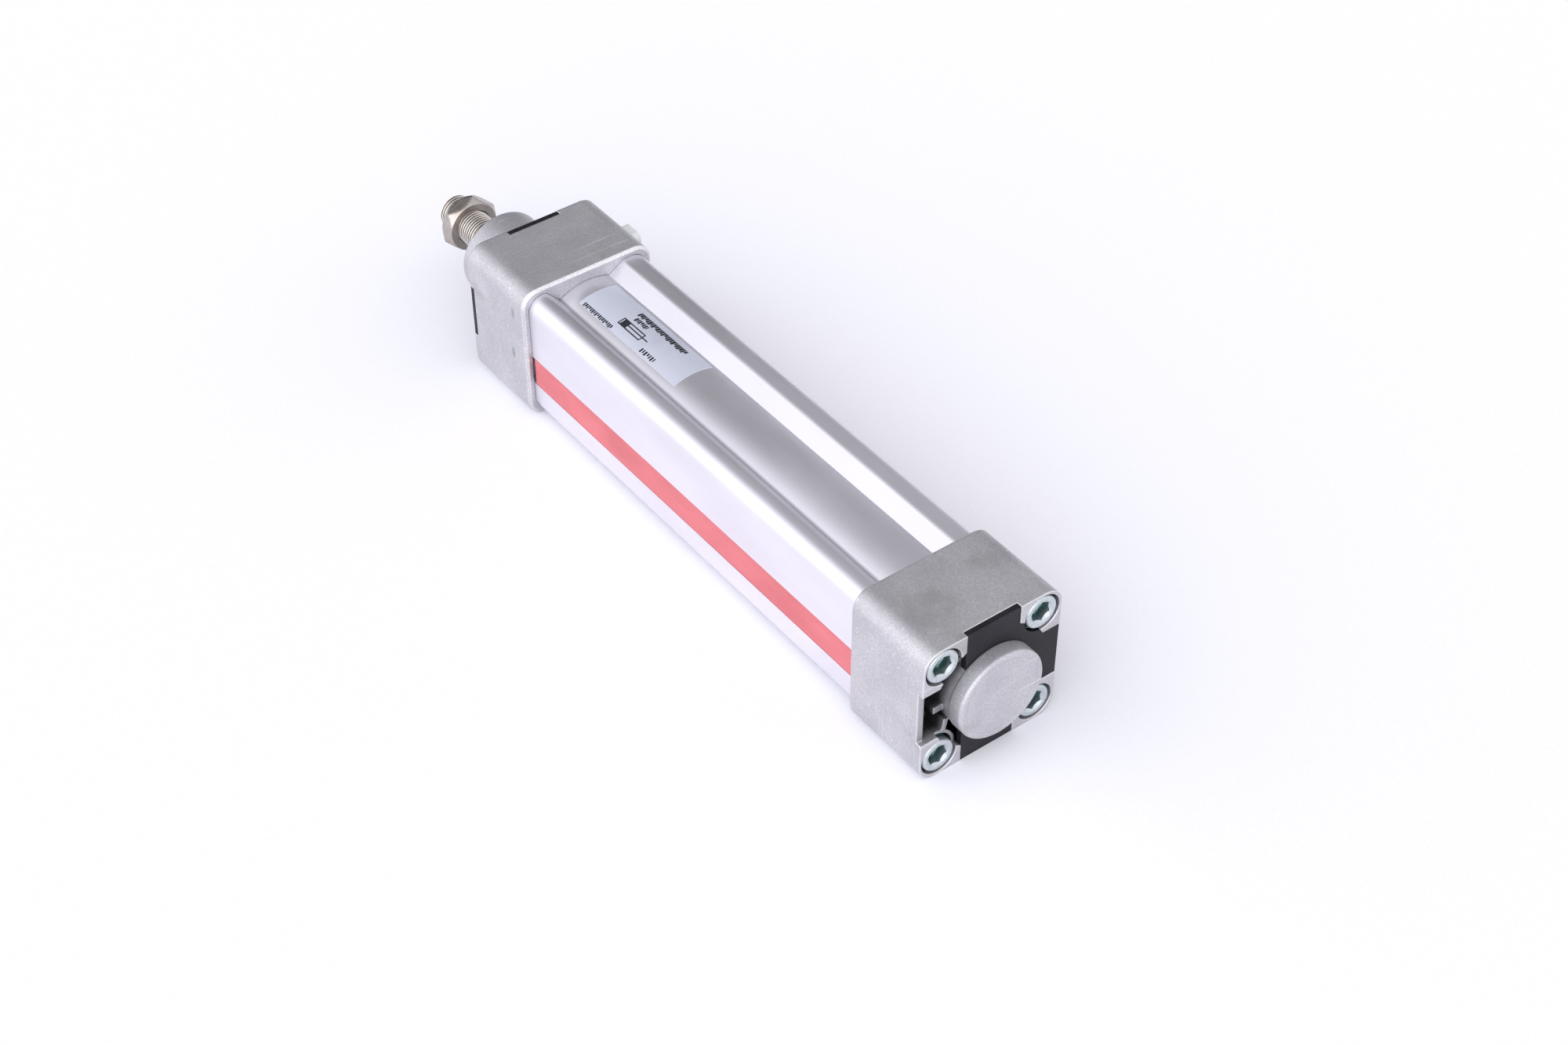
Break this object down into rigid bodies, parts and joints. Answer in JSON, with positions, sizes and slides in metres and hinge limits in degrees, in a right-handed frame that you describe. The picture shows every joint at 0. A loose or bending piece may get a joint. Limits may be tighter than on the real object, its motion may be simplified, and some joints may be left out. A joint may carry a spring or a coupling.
{
  "type": "pneumatic cylinder",
  "caption": "Double-acting pneumatic cylinder with a profile barrel, two cast end caps, a sliding piston rod with a threaded end and a thin hexagon nut.",
  "frame": {"origin": "centre of the front cap's mounting face, on the rod axis, at the root of the front locating boss", "axes": "+X out along the piston rod, +Z towards the side with the label, -Y towards the side with the air ports"},
  "size_m": [0.3808, 0.0705, 0.065],
  "materials": {
    "barrel_anodised": "satin anodised extrusion",
    "cap_cast": "blasted die casting",
    "screw_zinc": "bright zinc plated",
    "insert_black": "satin moulded",
    "strip_red": "matt extruded plastic",
    "label_film": "pale metallised film",
    "rod_chrome": "hard chrome",
    "nut_nickel": "nickel plated",
    "bush_bronze": "sintered bronze",
    "seal_polyurethane": "smooth polyurethane",
    "seal_rubber": "nitrile rubber",
    "piston_alloy": "turned",
    "magnet_bonded": "plastic-bonded magnet",
    "guide_plastic": "filled plastic",
    "adjuster_brass": "turned brass",
    "plug_polyethylene": "translucent moulded"
  },
  "bodies": {
    "housing": {"barrel": "barrel_anodised", "front_cap": "cap_cast", "rear_cap": "cap_cast", "front_cap_screws": "screw_zinc", "rear_cap_screws": "screw_zinc", "front_insert": "insert_black", "rear_insert": "insert_black", "strip_left": "strip_red", "strip_right": "strip_red", "label": "label_film", "rod_bush": "bush_bronze", "rod_wiper": "seal_polyurethane", "front_cushion_seal": "seal_polyurethane", "rear_cushion_seal": "seal_polyurethane", "front_barrel_oring": "seal_rubber", "rear_barrel_oring": "seal_rubber", "front_bumper": "seal_rubber", "rear_bumper": "seal_rubber"},
    "rod_assembly": {"piston_rod": "rod_chrome", "piston_front_half": "piston_alloy", "piston_rear_half": "piston_alloy", "piston_magnet": "magnet_bonded", "piston_guide_ring": "guide_plastic", "piston_seal_front": "seal_rubber", "piston_seal_rear": "seal_rubber", "piston_nut": "screw_zinc", "front_cushion_sleeve": "piston_alloy", "rear_cushion_sleeve": "piston_alloy"},
    "nut": {"rod_nut": "nut_nickel"},
    "front_adjuster": {"front_cushion_screw": "adjuster_brass"},
    "rear_adjuster": {"rear_cushion_screw": "adjuster_brass"},
    "port_plug": {"front_port_plug": "plug_polyethylene"}
  },
  "joints": [
    {"name": "rod_slide", "type": "slide", "parent": "housing", "child": "rod_assembly", "axis": [1, 0, 0], "range_m": [0, 0.2]},
    {"name": "nut_turn", "type": "hinge", "parent": "rod_assembly", "child": "nut", "pos_m": [0.0552, 0, 0], "axis": [1, 0, 0], "continuous": true},
    {"name": "front_cushion_adjust", "type": "hinge", "parent": "housing", "child": "front_adjuster", "pos_m": [-0.032, -0.026, -0.011], "axis": [0, -1, 0], "range_deg": [0, 1080]},
    {"name": "rear_cushion_adjust", "type": "hinge", "parent": "housing", "child": "rear_adjuster", "pos_m": [-0.274, -0.026, -0.011], "axis": [0, -1, 0], "range_deg": [0, 1080]},
    {"name": "port_plug_pull", "type": "slide", "parent": "housing", "child": "port_plug", "axis": [0, -1, 0], "range_m": [0, 0.012]}
  ]
}
